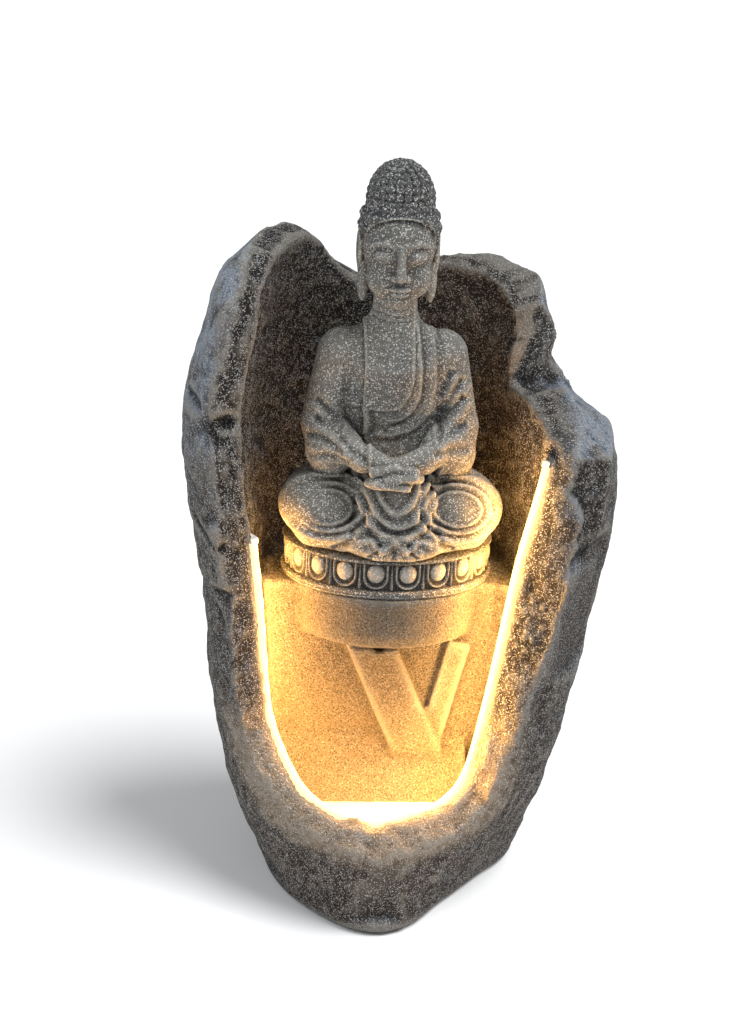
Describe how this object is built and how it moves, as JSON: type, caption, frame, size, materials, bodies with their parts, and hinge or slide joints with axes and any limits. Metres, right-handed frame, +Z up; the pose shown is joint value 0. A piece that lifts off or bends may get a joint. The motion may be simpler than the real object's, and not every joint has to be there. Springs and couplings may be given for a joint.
{
  "type": "tabletop water fountain",
  "caption": "Cast stone-look rock fountain with a lit niche, a small basin, a lotus base with a seated figure, and a pump behind a rear door.",
  "frame": {"origin": "centre of the footprint box, on the surface that the pads stand on", "axes": "+Z up, the open front towards -Y, +X to the right seen from the front"},
  "size_m": [0.3526, 0.2826, 0.6106],
  "materials": {
    "dark_cast_stone": "cast resin stone, dark slate with fine pale speckle, matt",
    "grey_cast_stone": "cast resin stone, mid grey with fine pale speckle, matt",
    "black_plastic": "moulded, fine grain",
    "grey_plastic": "moulded, satin",
    "black_rubber": "moulded, matt",
    "clear_hose": "soft vinyl, slightly cloudy",
    "steel": "bright zinc plated",
    "brass": "turned",
    "white_ceramic": "smooth",
    "lit_silicone": "milky silicone, lit warm white from inside"
  },
  "bodies": {
    "root": {"base_plate": "black_plastic", "base_screw_1": "steel", "base_screw_2": "steel", "base_screw_3": "steel", "base_screw_4": "steel", "dc_socket": "black_plastic", "door_frame": "black_plastic", "figure_stud": "steel", "foot_pad_1": "black_rubber", "foot_pad_2": "black_rubber", "foot_pad_3": "black_rubber", "foot_pad_4": "black_rubber", "frame_screw_1": "steel", "frame_screw_2": "steel", "frame_screw_3": "steel", "frame_screw_4": "steel", "hinge_pin": "steel", "hose_clamp": "steel", "impeller_shaft": "white_ceramic", "led_end_cap_1": "white_ceramic", "led_end_cap_2": "white_ceramic", "led_lead": "black_rubber", "led_strip": "lit_silicone", "lotus_base": "grey_cast_stone", "pump_body": "black_plastic", "pump_lead": "black_rubber", "riser_hose": "clear_hose", "rock_shell": "dark_cast_stone", "seated_figure": "grey_cast_stone", "socket_nut": "steel", "spout_nozzle": "black_plastic", "stud_nut": "brass", "stud_washer": "steel", "suction_cup_1": "black_rubber", "suction_cup_2": "black_rubber", "suction_cup_3": "black_rubber", "suction_cup_4": "black_rubber"},
    "door": {"rear_door": "black_plastic"},
    "latch": {"latch_knob": "grey_plastic", "latch_cam": "steel"},
    "impeller": {"pump_impeller": "grey_plastic"},
    "cover": {"pump_cover": "black_plastic"},
    "dial": {"flow_dial": "grey_plastic"}
  },
  "joints": [
    {"name": "door_hinge", "type": "hinge", "parent": "root", "child": "door", "pos_m": [-0.06847, 0.11813, 0.16], "axis": [0, 0, 1], "range_deg": [0, 105]},
    {"name": "latch_turn", "type": "hinge", "parent": "door", "child": "latch", "pos_m": [0.02453, 0.11553, 0.16], "axis": [0, 1, 0], "range_deg": [0, 90]},
    {"name": "cover_slide", "type": "slide", "parent": "root", "child": "cover", "axis": [0, 1, 0], "range_m": [0, 0.024]},
    {"name": "dial_turn", "type": "hinge", "parent": "cover", "child": "dial", "pos_m": [-0.01347, 0.05553, 0.06], "axis": [0, 1, 0], "range_deg": [-90, 90]},
    {"name": "impeller_spin", "type": "hinge", "parent": "root", "child": "impeller", "pos_m": [-0.01347, 0.03553, 0.06], "axis": [0, 1, 0], "continuous": true}
  ]
}
